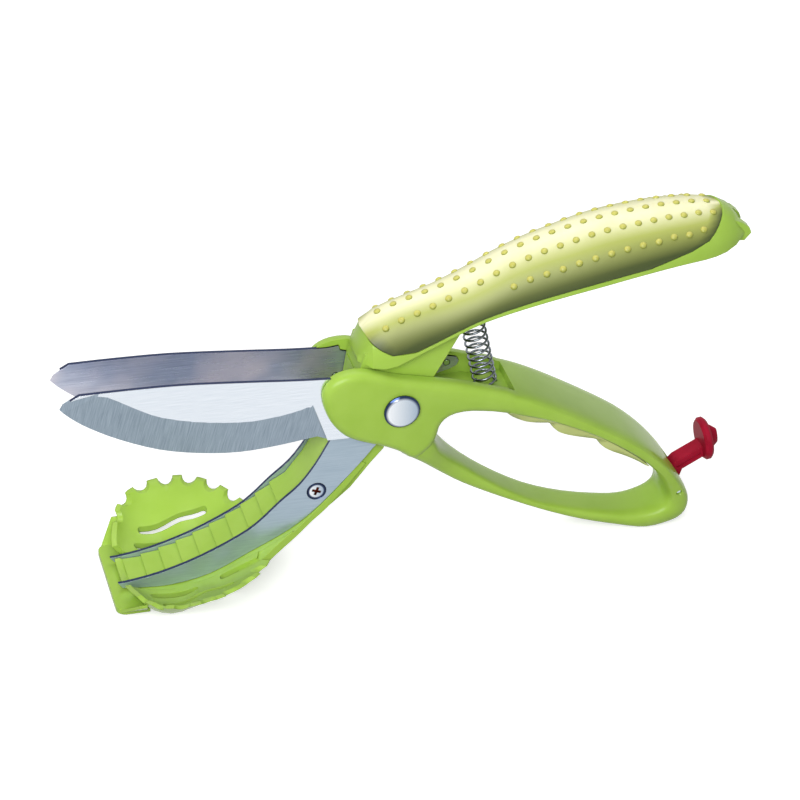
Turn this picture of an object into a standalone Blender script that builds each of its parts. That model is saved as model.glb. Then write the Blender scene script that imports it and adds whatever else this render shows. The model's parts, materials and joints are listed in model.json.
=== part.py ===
"""Salad scissors: two kitchen knives that close onto a serving scoop.

The loop handle carries both knives. The grip carries the scoop and its two
counter blades, and turns about one bolt between the knives. Lengths are in
metres, X runs from the blade tips to the handles, and Z is up. Outlines are
tables of shares of the size that each one follows, measured from the pivot.
"""
import math

import bpy
from mathutils import Vector

MM = 0.001

# Layers beside the main pivot, from the middle outward
HUB_HALF = 8.0 * MM
FIT_GAP = 0.3 * MM
STRIP_THICK = 1.4 * MM
WASHER_THICK = 0.4 * MM
KNIFE_THICK = 1.6 * MM
CHEEK_THICK = 4.0 * MM
POCKET_WALL_GAP = 1.07 * MM
CUT_OVERRUN = 2.0 * MM
STRIP_INNER = HUB_HALF + FIT_GAP
STRIP_OUTER = STRIP_INNER + STRIP_THICK
WASHER_INNER = STRIP_OUTER + FIT_GAP
WASHER_OUTER = WASHER_INNER + WASHER_THICK
KNIFE_INNER = WASHER_OUTER + FIT_GAP
KNIFE_OUTER = KNIFE_INNER + KNIFE_THICK
CHEEK_INNER = KNIFE_OUTER + FIT_GAP
CHEEK_OUTER = CHEEK_INNER + CHEEK_THICK
POCKET_HALF = WASHER_INNER + POCKET_WALL_GAP

# Where the main pivot stands over the middle of the footprint
PIVOT_BACK = 4.6 * MM
PIVOT_HEIGHT = 80.6 * MM

# Reaches from the pivot that the outlines follow
KNIFE_REACH = 137.2 * MM
ARM_REACH = 114.6 * MM
SCOOP_HALF = 45.0 * MM
GRIP_REACH = 143.4 * MM
GRIP_HALF = 20.0 * MM
LOOP_REACH = 131.2 * MM
LATCH_REACH = 20.0 * MM
PAD_DEEP = 5.0 * MM

# Pivot hardware, its domed head as (radius, height) shares
HUB_RADIUS = 11.0 * MM
STRIP_EYE_RADIUS = 12.0 * MM
BOLT_RADIUS = 3.0 * MM
SLEEVE_RADIUS = 4.5 * MM
WASHER_RADIUS = 8.0 * MM
HEAD_RADIUS = 7.45 * MM
HEAD_HEIGHT = 2.7 * MM
HEAD_SHARES = ((0.96, 0.0), (1.0, 0.15), (1.0, 0.37), (0.93, 0.55), (0.8, 0.72), (0.6, 0.87), (0.3, 0.97),
               (0.06, 1.0))
NUT_SHAFT_RADIUS = 5.2 * MM

# Knife, drawn on the plane through the pivot
KNIFE_SPINE_SHARES = ((-0.179, 0.113), (-0.299, 0.121), (-0.477, 0.138), (-0.652, 0.152), (-0.816, 0.156),
                      (-0.943, 0.156))
KNIFE_TIP_SHARES = ((-0.969, 0.141), (-0.99, 0.128), (-1.0, 0.111))
KNIFE_EDGE_SHARES = ((-0.968, 0.078), (-0.914, 0.036), (-0.827, -0.015), (-0.711, -0.066),
                     (-0.593, -0.095), (-0.474, -0.108), (-0.354, -0.101), (-0.241, -0.085))
KNIFE_HEEL_SHARES = ((-0.212, -0.098), (-0.149, -0.099))
TANG_SHARES = ((-0.087, -0.077), (0.0, -0.058), (0.102, -0.036), (0.205, -0.007), (0.224, 0.003),
               (0.23, 0.017), (0.222, 0.031), (0.203, 0.036), (0.102, 0.054), (0.0, 0.069),
               (-0.102, 0.09), (-0.138, 0.101), (-0.143, 0.117))
GRIND_SHARES = ((-0.886, 0.157), (-0.826, 0.12), (-0.768, 0.083), (-0.711, 0.053), (-0.622, 0.026),
                (-0.532, 0.009), (-0.445, 0.001), (-0.364, 0.007), (-0.302, 0.019), (-0.259, 0.033))
EDGE_THICK = 0.25 * MM
GRIND_OVERRUN = 3.0 * MM

# Tang pins that hold each knife in its cheek
TANG_PIN_SHARES = ((0.193, 0.015), (-0.149, 0.015))
TANG_PIN_RADIUS = 1.25 * MM
TANG_PIN_COVER = 1.5 * MM

# Counter blades on the scoop arm
STRIP_TOP_SHARES = ((-0.236, -0.131), (-0.288, -0.23), (-0.345, -0.311), (-0.416, -0.376),
                    (-0.488, -0.448), (-0.56, -0.5), (-0.705, -0.571), (-0.85, -0.619), (-0.959, -0.639),
                    (-1.0, -0.642))
STRIP_LOW_SHARES = ((-0.984, -0.663), (-0.934, -0.669), (-0.814, -0.675), (-0.668, -0.647),
                    (-0.523, -0.574), (-0.378, -0.496), (-0.27, -0.407), (-0.134, -0.255),
                    (-0.081, -0.188))
EYE_LOW_TURN = math.radians(20.0)
EYE_TOP_TURN = math.radians(44.0)
SCREW_SHARES = ((-0.283, -0.346),)
SCREW_HEAD_RADIUS = 3.85 * MM
SCREW_SHAFT_RADIUS = 1.8 * MM
SCREW_LENGTH = 5.5 * MM
SCREW_BORE_OVERRUN = 1.0 * MM

# Scoop arm and its toothed bed between the counter blades
ARM_TOP_SHARES = ((-0.147, 0.122), (-0.154, 0.044), (-0.178, -0.035), (-0.24, -0.157), (-0.301, -0.271))
BED_SHARES = ((-0.362, -0.356), (-0.437, -0.418), (-0.541, -0.499), (-0.653, -0.561), (-0.772, -0.613),
              (-0.902, -0.651), (-0.955, -0.66))
BED_TEETH = 10
BED_TOOTH_DEPTH = 1.2 * MM
BED_SINK = 1.0 * MM
ARM_FLOOR_SHARES = (-0.964, -0.908, -0.814, -0.733, -0.668, -0.596, -0.523, -0.45)
ARM_UNDER_SHARES = ((-0.336, -0.531), (-0.271, -0.462), (-0.209, -0.406), (-0.156, -0.357),
                    (-0.086, -0.263), (-0.038, -0.205), (-0.023, -0.14), (0.0, -0.048))

# Flange under the counter blades, as its top line with half widths beside it
FLANGE_TOP_SHARES = ((-0.124, -0.241), (-0.198, -0.325), (-0.266, -0.402), (-0.323, -0.45),
                     (-0.376, -0.491), (-0.449, -0.534), (-0.521, -0.581), (-0.576, -0.616))
FLANGE_HALF_SHARES = (0.191, 0.224, 0.229, 0.244, 0.284, 0.351, 0.413, 0.436)
FLANGE_DEEP = 3.2 * MM
FLANGE_LOW_HALF = 7.4 * MM
FLANGE_LOW_DEEP = 4.2 * MM

# Scoop bowl, half of its rim as (x, y) with the rim heights beside it
RIM_PLAN_SHARES = ((-0.985, 0.0), (-0.985, 0.178), (-0.983, 0.356), (-0.967, 0.533), (-0.942, 0.733),
                   (-0.902, 0.88), (-0.853, 0.967), (-0.765, 1.0), (-0.678, 0.967), (-0.602, 0.862),
                   (-0.537, 0.711), (-0.485, 0.522), (-0.443, 0.3), (-0.431, 0.133), (-0.429, 0.0))
RIM_HEIGHT_SHARES = (-0.654, -0.646, -0.621, -0.604, -0.586, -0.57, -0.557, -0.543, -0.533, -0.531,
                     -0.539, -0.551, -0.55, -0.538, -0.532)
FLOOR_SHARES = ((-1.03, -0.674), (-0.984, -0.674), (-0.934, -0.675), (-0.814, -0.68), (-0.742, -0.671),
                (-0.668, -0.651), (-0.596, -0.616), (-0.523, -0.579), (-0.45, -0.541), (-0.401, -0.511))
BOWL_MIDDLE_SHARE = -0.716
BOWL_WALL = 2.4 * MM
BOWL_FLOOR_THICK = 2.9 * MM
BOWL_SPREAD_SHARE = 0.22
BOWL_FLAT_SHARE = 0.26
BOWL_RING_SHARES = (0.2, 0.36, 0.5, 0.63, 0.75, 0.86, 0.94, 1.0)
FRONT_POWER = 9
WING_POWER = 1.35
LEAN_POWER = 4
BOWL_SECTORS = 60
NOTCH_RADIUS = 3.6 * MM
NOTCH_DEPTH = 2.2 * MM
NOTCH_PITCH = 11.0 * MM
NOTCH_REACH = 6.0 * MM
NOTCH_START = 30.0 * MM
NOTCHES = 10

# Square lip in front of the scoop, with a web from each end up to the rim
LIP_FRONT_SHARE = -1.026
LIP_BACK_SHARE = -0.908
LIP_TOP_SHARE = -0.6745
LIP_HALF_SHARE = 0.511
LIP_THICK = 2.2 * MM
LIP_CORNER = 4.0 * MM
WEB_THICK = 1.6 * MM
WEB_LOW_SHARES = ((-1.012, 0.493), (-0.916, 0.493))
WEB_HIGH_SHARES = ((-0.958, 0.698), (-0.932, 0.698))
WEB_HEIGHT_SHARES = (-0.677, -0.607)

# Slots through the scoop: beside the blades' tips, and three in each wing
TIP_SLOT_SHARES = ((-1.017, -0.678), (-0.951, -0.678), (-0.951, -0.524), (-1.017, -0.524))
TIP_SLOT_SPREAD = 1.2 * MM
WING_SLOT_SHARES = ((-0.881, 0.389), (-0.742, 0.389), (-0.852, 0.584), (-0.628, 0.584), (-0.628, 0.356),
                    (-0.518, 0.391))
WING_SLOT_HALF = 1.85 * MM
WING_SLOT_RISE = 25.0 * MM

# Grip shell, as heights and half widths along X
GRIP_TOP_SHARES = ((-0.114, 0.165), (-0.109, 0.197), (-0.095, 0.226), (-0.066, 0.252), (-0.014, 0.276),
                   (0.063, 0.301), (0.126, 0.321), (0.211, 0.356), (0.295, 0.4), (0.381, 0.437),
                   (0.47, 0.464), (0.562, 0.49), (0.654, 0.506), (0.748, 0.516), (0.848, 0.517),
                   (0.914, 0.51), (0.959, 0.492), (0.987, 0.467), (1.0, 0.446))
GRIP_RIM_SHARES = ((-0.114, 0.135), (-0.063, 0.129), (-0.035, 0.128), (-0.006, 0.136), (0.05, 0.165),
                   (0.107, 0.192), (0.16, 0.22), (0.231, 0.254), (0.331, 0.287), (0.445, 0.32),
                   (0.559, 0.347), (0.675, 0.371), (0.791, 0.388), (0.909, 0.396), (0.955, 0.404),
                   (1.0, 0.423))
GRIP_HALF_SHARES = ((-0.114, 0.35), (-0.109, 0.47), (-0.095, 0.58), (-0.066, 0.66), (-0.014, 0.7),
                    (0.132, 0.735), (0.314, 0.84), (0.46, 0.945), (0.595, 1.0), (0.732, 0.995),
                    (0.844, 0.935), (0.907, 0.84), (0.959, 0.67), (0.987, 0.51), (1.0, 0.41))
GRIP_STATIONS = 32
GRIP_TURNS = 18
GRIP_WALL = 3.9 * MM
HOLLOW_END_SHARES = (0.136, 0.976)
HOLLOW_STATIONS = 14
HOLLOW_DROP = 6.0 * MM
FORK_SHARES = ((0.967, 0.403), (1.001, 0.399), (1.02, 0.422), (1.013, 0.439), (0.994, 0.455),
               (0.967, 0.467))
FORK_NOTCH_SHARES = ((0.99, 0.523), (0.99, 0.439), (0.96, 0.424), (0.96, 0.363), (1.039, 0.363),
                     (1.039, 0.523))
FORK_HALF = 8.2 * MM
FORK_GAP_HALF = 4.2 * MM
NECK_SHARES = ((-0.098, 0.167), (-0.109, 0.126), (-0.116, 0.091), (-0.123, 0.035), (-0.139, -0.021),
               (0.077, 0.0), (0.106, 0.07), (0.146, 0.144), (0.175, 0.199), (0.172, 0.23), (0.146, 0.251))
NECK_HALF = 9.8 * MM

# Soft skin over the grip: degrees from the top, with the ends as shares along X
SKIN_THICK = 1.5 * MM
SKIN_EDGE_DEGREES = 84.0
SKIN_FRONT_SHARES = ((0, -0.099), (22, -0.095), (48, -0.082), (62, -0.061), (72, -0.033), (78, -0.006),
                     (84, 0.045))
SKIN_REAR_SHARES = ((0, 0.937), (32, 0.925), (64, 0.876), (72, 0.831), (80, 0.781), (84, 0.695))
SKIN_COLUMNS = 24
SKIN_ROWS = 18
SKIN_STEP = 0.05 * MM

# Loop handle: front housing outline, then the band around the finger hole
HOUSING_SHARES = ((0.378, -0.008), (0.293, 0.027), (0.163, 0.068), (0.003, 0.104), (-0.061, 0.125),
                  (-0.121, 0.143), (-0.172, 0.142), (-0.208, 0.129), (-0.231, 0.109), (-0.244, 0.081),
                  (-0.242, 0.041), (-0.226, -0.008), (-0.204, -0.047), (-0.172, -0.082), (-0.132, -0.106),
                  (-0.087, -0.124), (-0.038, -0.143), (0.011, -0.169), (0.053, -0.198), (0.104, -0.16),
                  (0.124, -0.119), (0.13, -0.09), (0.148, -0.064), (0.18, -0.049), (0.232, -0.047),
                  (0.303, -0.059), (0.378, -0.072))
HOUSING_EDGE_REACH = 3.6 * MM
HOUSING_EDGE_DEPTH = 3.4 * MM
BAND_OUTER_SHARES = ((0.351, 0.005), (0.421, -0.02), (0.503, -0.06), (0.595, -0.113), (0.698, -0.177),
                     (0.79, -0.239), (0.861, -0.302), (0.916, -0.363), (0.96, -0.427), (0.993, -0.488),
                     (1.0, -0.534), (0.988, -0.572), (0.949, -0.598), (0.869, -0.617), (0.777, -0.599),
                     (0.639, -0.559), (0.5, -0.5), (0.362, -0.434), (0.236, -0.363), (0.148, -0.293),
                     (0.075, -0.228), (0.011, -0.183), (-0.038, -0.133))
BAND_INNER_SHARES = ((0.351, -0.074), (0.417, -0.098), (0.484, -0.123), (0.564, -0.159), (0.658, -0.21),
                     (0.742, -0.267), (0.812, -0.323), (0.861, -0.375), (0.896, -0.431), (0.916, -0.48),
                     (0.915, -0.511), (0.895, -0.532), (0.861, -0.544), (0.808, -0.549), (0.739, -0.541),
                     (0.6, -0.505), (0.461, -0.45), (0.322, -0.36), (0.218, -0.273), (0.16, -0.209),
                     (0.127, -0.149), (0.102, -0.099), (0.069, -0.069))
BAND_HALF_SHARES = (1.0, 1.0, 1.0, 1.0, 1.0, 0.994, 0.976, 0.928, 0.855, 0.795, 0.747, 0.723, 0.687,
                    0.627, 0.566, 0.494, 0.47, 0.464, 0.506, 0.675, 0.892, 0.964, 0.94)
BAND_POWERS = (4.8, 4.4, 4.0, 3.6, 3.4, 3.4, 3.4, 3.4, 3.4, 3.4, 3.4, 3.4, 3.4, 3.4, 3.4, 3.4, 3.4,
               3.4, 3.4, 3.6, 4.0, 4.4, 4.4)
BAND_STEPS = 3
BAND_SIDES = 24
LOOP_FOOT_SHARE = 0.854
POCKET_SHARES = ((0.376, 0.229), (0.376, -0.034), (0.278, -0.034), (0.255, -0.026), (0.16, -0.026),
                 (0.141, -0.034), (0.084, -0.034), (0.0, -0.084), (-0.002, -0.122), (-0.026, -0.184),
                 (-0.035, -0.259), (-0.381, -0.259), (-0.381, 0.229))

# Soft pad under the top bar: its depth along X, with a cusp between two fingers
PAD_DEPTH_SHARES = ((0.355, 0.18), (0.369, 0.42), (0.389, 0.6), (0.421, 0.72), (0.457, 0.6), (0.486, 0.4),
                    (0.503, 0.3), (0.521, 0.64), (0.545, 0.94), (0.572, 1.0), (0.607, 0.88), (0.644, 0.6),
                    (0.674, 0.34), (0.694, 0.66), (0.716, 0.86), (0.743, 0.82), (0.77, 0.62), (0.8, 0.4),
                    (0.835, 0.18))
PAD_HALF = 13.4 * MM
PAD_POWER = 4.0
PAD_SIDE_DEPTH = 0.5 * MM
PAD_SIDES = 12
PAD_STEPS = 2

# Latch at the rear of the loop, drawn from its pin
LATCH_PIN_SHARES = ((0.951, -0.466),)
LATCH_PIN_RADIUS = 1.0 * MM
LATCH_PIN_HALF = 12.4 * MM
LATCH_BARREL_RADIUS = 2.6 * MM
LATCH_NECK_HALF = 3.5 * MM
LATCH_NECK_SHARES = ((-0.11, 0.07), (-0.08, 0.28), (0.07, 0.455), (0.63, 0.765), (0.72, 0.54),
                     (0.21, 0.255), (0.115, -0.06))
LATCH_RECESS_SHARES = ((0.05, 0.31), (0.58, 0.61), (0.61, 0.53), (0.16, 0.29))
LATCH_RECESS_DEPTH = 0.8 * MM
LATCH_TILT = math.radians(8.0)
LATCH_DISC_SHARES = ((0.66, 0.85),)
LATCH_DISC_RADIUS = 9.2 * MM
LATCH_DISC_EDGE = 1.1 * MM
LATCH_DISC_THICK = 2.6 * MM
LATCH_RIDGE_DEPTH = 3.8 * MM
LATCH_RIDGE_HALF = 3.6 * MM
LATCH_RIDGE_RADIUS = 7.0 * MM
LATCH_RIDGE_SHARES = ((0.0, 1.0), (0.6, 0.84), (1.0, 0.5))
LATCH_SLOT_SHARES = ((-0.155, -0.145), (-0.16, 0.1), (-0.18, 0.3), (-0.15, 0.7), (0.7, 0.7),
                     (0.7, -0.145))

# Return spring between the pocket floor and the grip
SPRING_FOOT_SHARES = ((0.308, -0.031),)
SPRING_TOP_SHARES = ((0.205, 0.297),)
SPRING_RADIUS = 4.75 * MM
SPRING_WIRE = 0.45 * MM
SPRING_COILS = 14
SPRING_POINTS = 10
SPRING_POST_RADIUS = 3.2 * MM
SPRING_POST_HEIGHT = 4.0 * MM
SPRING_POST_ROOT = 2.0 * MM
SPRING_SEAT_RADIUS = 6.2 * MM
SPRING_SEAT_RISE = 4.7 * MM

ARC_STEPS = 32
SMALL_ARC_STEPS = 16
EDGE_STEPS = 4
SLOT_STEPS = 8
CORNER_STEPS = 6
SHARP_TURN = math.radians(38.0)

GREEN = (0.36, 0.60, 0.03, 1.0)
CREAM = (0.78, 0.74, 0.38, 1.0)
OLIVE = (0.50, 0.48, 0.16, 1.0)
STEEL = (0.62, 0.63, 0.65, 1.0)
RED = (0.52, 0.02, 0.05, 1.0)
NYLON = (0.80, 0.80, 0.78, 1.0)


def sized(shares, along, across=None):
    """Points written as shares of one size, or of one along and another across."""
    return [Vector((a * along, b * (across or along))) for a, b in shares]


def turned_ends(shares):
    """The skin's end line as (radians from the top, x)."""
    return [Vector((math.radians(turn), share * GRIP_REACH)) for turn, share in shares]


KNIFE_EDGE = sized(KNIFE_TIP_SHARES[-1:] + KNIFE_EDGE_SHARES, KNIFE_REACH)
KNIFE_HEEL = sized(KNIFE_HEEL_SHARES, KNIFE_REACH)
TANG_PIN_SPOTS = sized(TANG_PIN_SHARES, KNIFE_REACH)
STRIP_TOP = sized(STRIP_TOP_SHARES, ARM_REACH)
STRIP_LOW = sized(STRIP_LOW_SHARES, ARM_REACH)
SCREW_SPOT = sized(SCREW_SHARES, ARM_REACH)[0]
FLOOR_LINE = sized(FLOOR_SHARES, ARM_REACH)
BOWL_MIDDLE = BOWL_MIDDLE_SHARE * ARM_REACH
GRIP_TOP_LINE = sized(GRIP_TOP_SHARES, GRIP_REACH)
GRIP_RIM_LINE = sized(GRIP_RIM_SHARES, GRIP_REACH)
GRIP_HALF_LINE = sized(GRIP_HALF_SHARES, GRIP_REACH, GRIP_HALF)
SKIN_FRONT = turned_ends(SKIN_FRONT_SHARES)
SKIN_REAR = turned_ends(SKIN_REAR_SHARES)
SKIN_EDGE_TURN = math.radians(SKIN_EDGE_DEGREES)
BAND_OUTER = sized(BAND_OUTER_SHARES, LOOP_REACH)
BAND_INNER = sized(BAND_INNER_SHARES, LOOP_REACH)
PAD_DEPTHS = sized(PAD_DEPTH_SHARES, LOOP_REACH, PAD_DEEP)
LATCH_PIN = sized(LATCH_PIN_SHARES, LOOP_REACH)[0]
SPRING_FOOT = sized(SPRING_FOOT_SHARES, LOOP_REACH)[0]
SPRING_TOP = sized(SPRING_TOP_SHARES, GRIP_REACH)[0]


def clear_scene():
    for item in list(bpy.data.objects):
        bpy.data.objects.remove(item, do_unlink=True)


def finish_material(name, colour, roughness, metallic):
    material = bpy.data.materials.new(name)
    material.use_nodes = True
    shader = material.node_tree.nodes["Principled BSDF"]
    shader.inputs["Base Color"].default_value = colour
    shader.inputs["Roughness"].default_value = roughness
    shader.inputs["Metallic"].default_value = metallic
    return material


def smooth_line(points, steps):
    """Points along a smooth curve through the given points, ends included."""
    line = []
    last = len(points) - 1
    for i in range(last):
        before = points[max(i - 1, 0)]
        start, end = points[i], points[i + 1]
        after = points[min(i + 2, last)]
        lean_in = (end - before) / 2
        lean_out = (after - start) / 2
        for k in range(steps):
            t = k / steps
            line.append(start * (2 * t**3 - 3 * t**2 + 1) + lean_in * (t**3 - 2 * t**2 + t)
                        + end * (3 * t**2 - 2 * t**3) + lean_out * (t**3 - t**2))
    line.append(points[last].copy())
    return line


def smooth_loop(points, steps):
    """Points along a smooth closed curve, each once."""
    wrapped = [points[-1]] + points + points[:2]
    return smooth_line(wrapped, steps)[steps:-steps - 1]


def value_at(line, x):
    """Height of a line of (x, value) points at one x, between its neighbours on a smooth curve."""
    last = len(line) - 1
    i = 0
    while i < last - 1 and line[i + 1].x < x:
        i += 1
    span = line[i + 1].x - line[i].x
    t = min(max((x - line[i].x) / span, 0.0), 1.0)

    def slope(k):
        low, high = max(k - 1, 0), min(k + 1, last)
        return (line[high].y - line[low].y) / (line[high].x - line[low].x)

    return (line[i].y * (2 * t**3 - 3 * t**2 + 1) + slope(i) * span * (t**3 - 2 * t**2 + t)
            + line[i + 1].y * (3 * t**2 - 2 * t**3) + slope(i + 1) * span * (t**3 - t**2))


def add_body(name, verts, faces, material=None):
    mesh = bpy.data.meshes.new(name)
    mesh.from_pydata([tuple(v) for v in verts], [], faces)
    mesh.validate()
    mesh.shade_smooth()
    mesh.set_sharp_from_angle(angle=SHARP_TURN)
    body = bpy.data.objects.new(name, mesh)
    bpy.context.scene.collection.objects.link(body)
    if material:
        mesh.materials.append(material)
    return body


def loft(name, rings, material=None, folded_caps=False):
    """A closed body through rings of equal count, capped at both ends.

    A folded cap joins the ring's first half to its second half, for thin curved skins.
    """
    count = len(rings[0])
    verts = [point for ring in rings for point in ring]
    faces = []
    for i in range(len(rings) - 1):
        for j in range(count):
            k = (j + 1) % count
            faces.append((i * count + j, i * count + k, (i + 1) * count + k, (i + 1) * count + j))
    last = (len(rings) - 1) * count
    if folded_caps:
        for j in range(count // 2 - 1):
            patch = (j, count - 1 - j, count - 2 - j, j + 1)
            faces.append(patch)
            faces.append(tuple(last + k for k in patch[::-1]))
    else:
        faces.append(tuple(range(count))[::-1])
        faces.append(tuple(last + j for j in range(count)))
    body = add_body(name, verts, faces, material)
    face_outward(body)
    return body


def face_outward(body):
    """Turn every face of a closed body outward, by the sign of its volume."""
    mesh = body.data
    volume = 0.0
    for face in mesh.polygons:
        corners = [mesh.vertices[i].co for i in face.vertices]
        for k in range(1, len(corners) - 1):
            volume += corners[0].dot(corners[k].cross(corners[k + 1]))
    if volume < 0:
        mesh.flip_normals()


def side_ring(outline, y):
    return [Vector((point.x, y, point.y)) for point in outline]


def plate(name, outline, inner, outer, material=None):
    """An outline in the XZ plane, given thickness along Y."""
    return loft(name, [side_ring(outline, inner), side_ring(outline, outer)], material)


def flat_plate(name, outline, low, high):
    """An outline in the XY plane, given height along Z."""
    return loft(name, [[Vector((p.x, p.y, z)) for p in outline] for z in (low, high)])


def shrink(outline, depth):
    """The outline drawn inward by one depth, whichever way round it runs."""
    count = len(outline)
    area = sum(outline[i - 1].cross(outline[i]) for i in range(count))
    turn = 1 if area > 0 else -1
    drawn = []
    for i in range(count):
        ahead = (outline[(i + 1) % count] - outline[i]).normalized()
        behind = (outline[i] - outline[i - 1]).normalized()
        along = (ahead + behind).normalized()
        reach = depth / max(along.dot(ahead), 0.5)
        drawn.append(outline[i] + Vector((-along.y, along.x)) * reach * turn)
    return drawn


def rounded_plate(name, outline, half, reach, depth, material=None):
    """A plate about the middle plane, its outer edges rounded by quarter ellipses."""
    rings = []
    turns = [k * math.pi / (2 * EDGE_STEPS) for k in range(EDGE_STEPS + 1)]
    for side in (-1, 1):
        for turn in (turns if side < 0 else turns[::-1]):
            inset = reach * (1 - math.sin(turn))
            y = side * (half - depth * (1 - math.cos(turn)))
            rings.append(side_ring(shrink(outline, inset), y))
    return loft(name, rings, material)


def turned(name, profile, material=None, steps=ARC_STEPS, centre=(0, 0)):
    """A body of (radius, y) rings about a line along Y."""
    rings = []
    for reach, y in profile:
        ring = []
        for k in range(steps):
            turn = 2 * math.pi * k / steps
            ring.append(Vector((centre[0] + reach * math.cos(turn), y, centre[1] + reach * math.sin(turn))))
        rings.append(ring)
    return loft(name, rings, material)


def disc(name, centre, radius, inner, outer, material=None, steps=ARC_STEPS, end_radius=None):
    """A cylinder or cone along Y between two planes."""
    return turned(name, [(radius, inner), (end_radius or radius, outer)], material, steps, centre)


def combine(target, tool, operation, solver="EXACT"):
    """Cut or join one body with another, which then only guides the shape."""
    step = target.modifiers.new(tool.name, "BOOLEAN")
    step.operation = operation
    step.solver = solver
    step.object = tool
    tool.hide_render = True
    tool.display_type = "WIRE"
    if tool.parent is None:
        tool.parent = target


def cut(target, *tools):
    for tool in tools:
        combine(target, tool, "DIFFERENCE")


def join(target, *tools):
    for tool in tools:
        combine(target, tool, "UNION")


def put_under(parent, *bodies):
    for body in bodies:
        body.parent = parent


def joint_empty(name, x, z):
    empty = bpy.data.objects.new(name, None)
    empty.location = (x, 0, z)
    bpy.context.scene.collection.objects.link(empty)
    return empty


def knife_outline():
    spine = smooth_line(sized(KNIFE_SPINE_SHARES, KNIFE_REACH), 3)
    tip = sized(KNIFE_TIP_SHARES, KNIFE_REACH)
    edge = smooth_line(KNIFE_EDGE, 3)[1:]
    return spine + tip + edge + KNIFE_HEEL + sized(TANG_SHARES, KNIFE_REACH)


def build_knife(name, side, steel):
    """One knife: a flat plate whose outer face is ground down to the edge."""
    knife = plate(name, knife_outline(), side * KNIFE_INNER, side * KNIFE_OUTER, steel)
    grind = smooth_line(sized(GRIND_SHARES, KNIFE_REACH), 2)
    edge = smooth_line(KNIFE_EDGE, 2)
    rings = []
    for i, high in enumerate(grind):
        share = i / (len(grind) - 1)
        low = edge[min(round(share * (len(edge) - 1)), len(edge) - 1)]
        if i == 0:
            low = sized(KNIFE_TIP_SHARES, KNIFE_REACH)[0]
        if i == len(grind) - 1:
            low = KNIFE_HEEL[0]
        down = (low - high).normalized()
        slope = (KNIFE_THICK - EDGE_THICK) / (low - high).length
        start, end = high - down * GRIND_OVERRUN, low + down * GRIND_OVERRUN
        face = KNIFE_OUTER + slope * GRIND_OVERRUN
        floor = KNIFE_INNER + EDGE_THICK - slope * GRIND_OVERRUN
        roof = KNIFE_OUTER + CUT_OVERRUN
        rings.append([Vector((start.x, side * roof, start.y)), Vector((start.x, side * face, start.y)),
                      Vector((end.x, side * floor, end.y)), Vector((end.x, side * roof, end.y))])
    bore = BOLT_RADIUS + FIT_GAP
    reach = sorted((side * (KNIFE_INNER - CUT_OVERRUN), side * (KNIFE_OUTER + CUT_OVERRUN)))
    cut(knife, disc(name + "_bolt_bore", (0, 0), bore, *reach))
    pin_bore = TANG_PIN_RADIUS + FIT_GAP
    for i, spot in enumerate(TANG_PIN_SPOTS):
        cut(knife, disc(f"{name}_pin_bore_{i}", spot, pin_bore, *reach, steps=SMALL_ARC_STEPS))
    combine(knife, loft(name + "_grind", rings), "DIFFERENCE", "MANIFOLD")
    return knife


def build_tang_pins(side, word, steel):
    """The two steel pins that fix one tang to its cheek."""
    ends = side * KNIFE_INNER, side * (CHEEK_OUTER - TANG_PIN_COVER)
    return [disc(f"tang_pin_{word}_{place}", spot, TANG_PIN_RADIUS, *ends, steel, steps=SMALL_ARC_STEPS)
            for place, spot in zip(("rear", "front"), TANG_PIN_SPOTS)]


def strip_outline():
    top = smooth_line(STRIP_TOP, 3)
    low = smooth_line(STRIP_LOW, 3)
    start = math.atan2(STRIP_LOW[-1].y, STRIP_LOW[-1].x) + EYE_LOW_TURN
    end = math.atan2(STRIP_TOP[0].y, STRIP_TOP[0].x) + 2 * math.pi - EYE_TOP_TURN
    eye = []
    for k in range(ARC_STEPS // 2 + 1):
        turn = start + (end - start) * k / (ARC_STEPS // 2)
        eye.append(Vector((math.cos(turn), math.sin(turn))) * STRIP_EYE_RADIUS)
    return top + low + eye


def build_strip(name, side, steel):
    """One counter blade, with its eye on the pivot and a countersunk screw hole."""
    strip = plate(name, strip_outline(), side * STRIP_INNER, side * STRIP_OUTER, steel)
    reach = sorted((side * (STRIP_INNER - CUT_OVERRUN), side * (STRIP_OUTER + CUT_OVERRUN)))
    cut(strip, disc(name + "_eye_bore", (0, 0), SLEEVE_RADIUS + FIT_GAP, *reach))
    slope = (SCREW_HEAD_RADIUS - SCREW_SHAFT_RADIUS) / STRIP_THICK
    spread = slope * SCREW_BORE_OVERRUN
    cut(strip, disc(name + "_screw_bore", SCREW_SPOT, SCREW_SHAFT_RADIUS + FIT_GAP - spread,
                    side * (STRIP_INNER - SCREW_BORE_OVERRUN), side * (STRIP_OUTER + SCREW_BORE_OVERRUN),
                    end_radius=SCREW_HEAD_RADIUS + FIT_GAP + spread))
    return strip


def build_screw(name, side, steel):
    """Countersunk screw through one counter blade into the arm."""
    profile = [(SCREW_SHAFT_RADIUS, side * (STRIP_INNER - SCREW_LENGTH)),
               (SCREW_SHAFT_RADIUS, side * STRIP_INNER), (SCREW_HEAD_RADIUS, side * STRIP_OUTER)]
    return turned(name, profile, steel, centre=SCREW_SPOT)


def grip_point(x, turn, depth):
    """A point of the grip's arch at one x and turn from the top, sunk by one depth."""
    half = value_at(GRIP_HALF_LINE, x) - depth
    rim = value_at(GRIP_RIM_LINE, x)
    rise = value_at(GRIP_TOP_LINE, x) - rim - depth
    return Vector((x, half * math.sin(turn), rim + rise * math.cos(turn)))


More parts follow.
